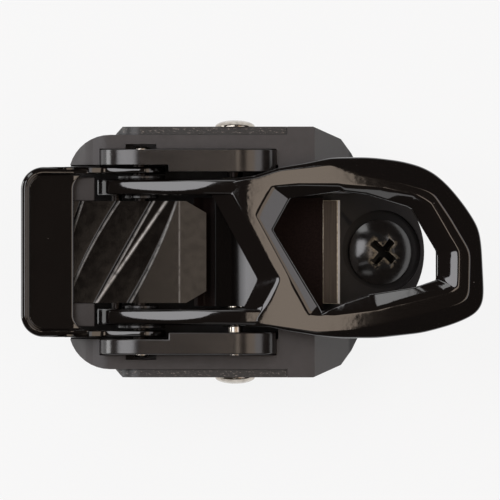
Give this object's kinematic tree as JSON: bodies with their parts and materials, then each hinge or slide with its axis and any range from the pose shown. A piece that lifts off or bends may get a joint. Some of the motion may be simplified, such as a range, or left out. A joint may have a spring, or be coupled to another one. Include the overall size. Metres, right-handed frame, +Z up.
{
  "type": "strap ratchet buckle",
  "caption": "Strap ratchet buckle: a toothed strap slides under a sprung holding pawl, an open loop lever winds it in, a finger trigger lets it go, and a screw fixes the buckle to its strap.",
  "frame": {"origin": "middle of the base of the bounding box, level with the tip of the strap screw", "axes": "+X along the buckle toward the lever loop and the strap screw, +Z up out of the lever, +Y across"},
  "size_m": [0.0901, 0.0514, 0.031],
  "materials": {
    "base_body": "matte",
    "cheek_left": "satin",
    "cheek_right": "satin",
    "side_plate_left": "satin",
    "side_plate_right": "satin",
    "front_axle": "satin",
    "rear_axle": "polished",
    "strap_screw": "satin",
    "lever": "gloss",
    "outer_washers": "gloss",
    "inner_washers": "gloss",
    "drive_pawl_pin": "satin",
    "drive_pawl": "satin",
    "drive_pawl_spring": "satin",
    "trigger_paddle": "gloss",
    "release_tongue": "satin",
    "holding_pawl": "satin",
    "pawl_bush": "satin",
    "tooth_bar": "satin",
    "pawl_springs": "satin"
  },
  "bodies": {
    "base": {"base_body": "base_body", "cheek_left": "cheek_left", "cheek_right": "cheek_right", "side_plate_left": "side_plate_left", "side_plate_right": "side_plate_right", "front_axle": "front_axle", "rear_axle": "rear_axle", "strap_screw": "strap_screw"},
    "lever": {"lever": "lever", "outer_washers": "outer_washers", "inner_washers": "inner_washers", "drive_pawl_pin": "drive_pawl_pin"},
    "drive_pawl": {"drive_pawl": "drive_pawl", "drive_pawl_spring": "drive_pawl_spring"},
    "trigger": {"trigger_paddle": "trigger_paddle", "release_tongue": "release_tongue"},
    "holding_pawl": {"holding_pawl": "holding_pawl", "pawl_bush": "pawl_bush", "tooth_bar": "tooth_bar", "pawl_springs": "pawl_springs"}
  },
  "joints": [
    {"name": "lever_lift", "type": "hinge", "parent": "base", "child": "lever", "pos_m": [-0.0216, 0, 0.02136], "axis": [0, -1, 0], "range_deg": [0, 90]},
    {"name": "drive_pawl_swing", "type": "hinge", "parent": "lever", "child": "drive_pawl", "pos_m": [-0.0264, 0, 0.02006], "axis": [0, -1, 0], "range_deg": [0, 20], "stiffness_Nm_per_rad": 0.002, "springref_deg": -20.05},
    {"name": "trigger_lift", "type": "hinge", "parent": "base", "child": "trigger", "pos_m": [-0.0216, 0, 0.02136], "axis": [0, 1, 0], "range_deg": [0, 10], "stiffness_Nm_per_rad": 0.03, "springref_deg": -11.46},
    {"name": "holding_pawl_lift", "type": "hinge", "parent": "base", "child": "holding_pawl", "pos_m": [-0.0033, 0, 0.02136], "axis": [0, -1, 0], "range_deg": [0, 13.1]}
  ],
  "couplings": [
    {"joint": "holding_pawl_lift", "follows": "trigger_lift", "ratio": 1.3}
  ]
}
